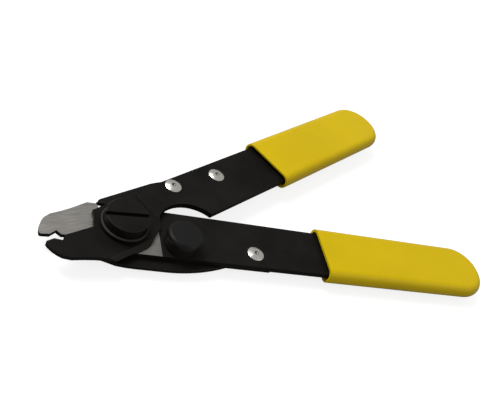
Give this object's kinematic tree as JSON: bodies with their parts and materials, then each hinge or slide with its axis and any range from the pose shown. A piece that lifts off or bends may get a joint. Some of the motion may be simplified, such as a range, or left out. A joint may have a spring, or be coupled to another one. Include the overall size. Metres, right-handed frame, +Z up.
{
  "type": "fibre stripper",
  "caption": "Hand tool for stripping optical fibre: two plate arms cross at a sprung pivot screw, with notched jaws in front and dipped grips behind.",
  "frame": {"origin": "on the pivot axis, at the flat end of the pivot screw, level with the underside of the pivot nut, which the tool lies on", "axes": "+Z up along the pivot axis towards the screw's slotted head; +X towards the handles, halfway between the open arms; +Y towards the upper arm's handle"},
  "size_m": [0.1387, 0.0848, 0.0103],
  "materials": {
    "black_steel": "black oxide on stamped steel, low sheen",
    "yellow_vinyl": "glossy dipped vinyl",
    "spring_wire": "bright drawn spring wire",
    "nickel_rivet": "bright nickel plate",
    "black_plastic": "moulded black plastic, semi-gloss"
  },
  "bodies": {
    "lower_half": {"lower_arm": "black_steel", "backing_plate": "black_steel", "lower_grip": "yellow_vinyl", "pivot_screw": "black_steel", "pivot_nut": "black_steel", "head_collar": "black_steel", "lower_rivet": "nickel_rivet", "button_stud": "black_steel", "button_cap": "black_plastic", "button_nut": "black_steel", "return_spring": "spring_wire"},
    "upper_half": {"upper_arm": "black_steel", "stop_plate": "black_steel", "upper_grip": "yellow_vinyl", "upper_rivets": "nickel_rivet"}
  },
  "joints": [
    {"name": "arm_pivot", "type": "hinge", "parent": "lower_half", "child": "upper_half", "pos_m": [0, 0, 0.00575], "axis": [0, 0, 1], "range_deg": [-14.1, 0], "stiffness_Nm_per_rad": 0.6, "springref_deg": 28.65, "deforming": ["return_spring"]}
  ]
}
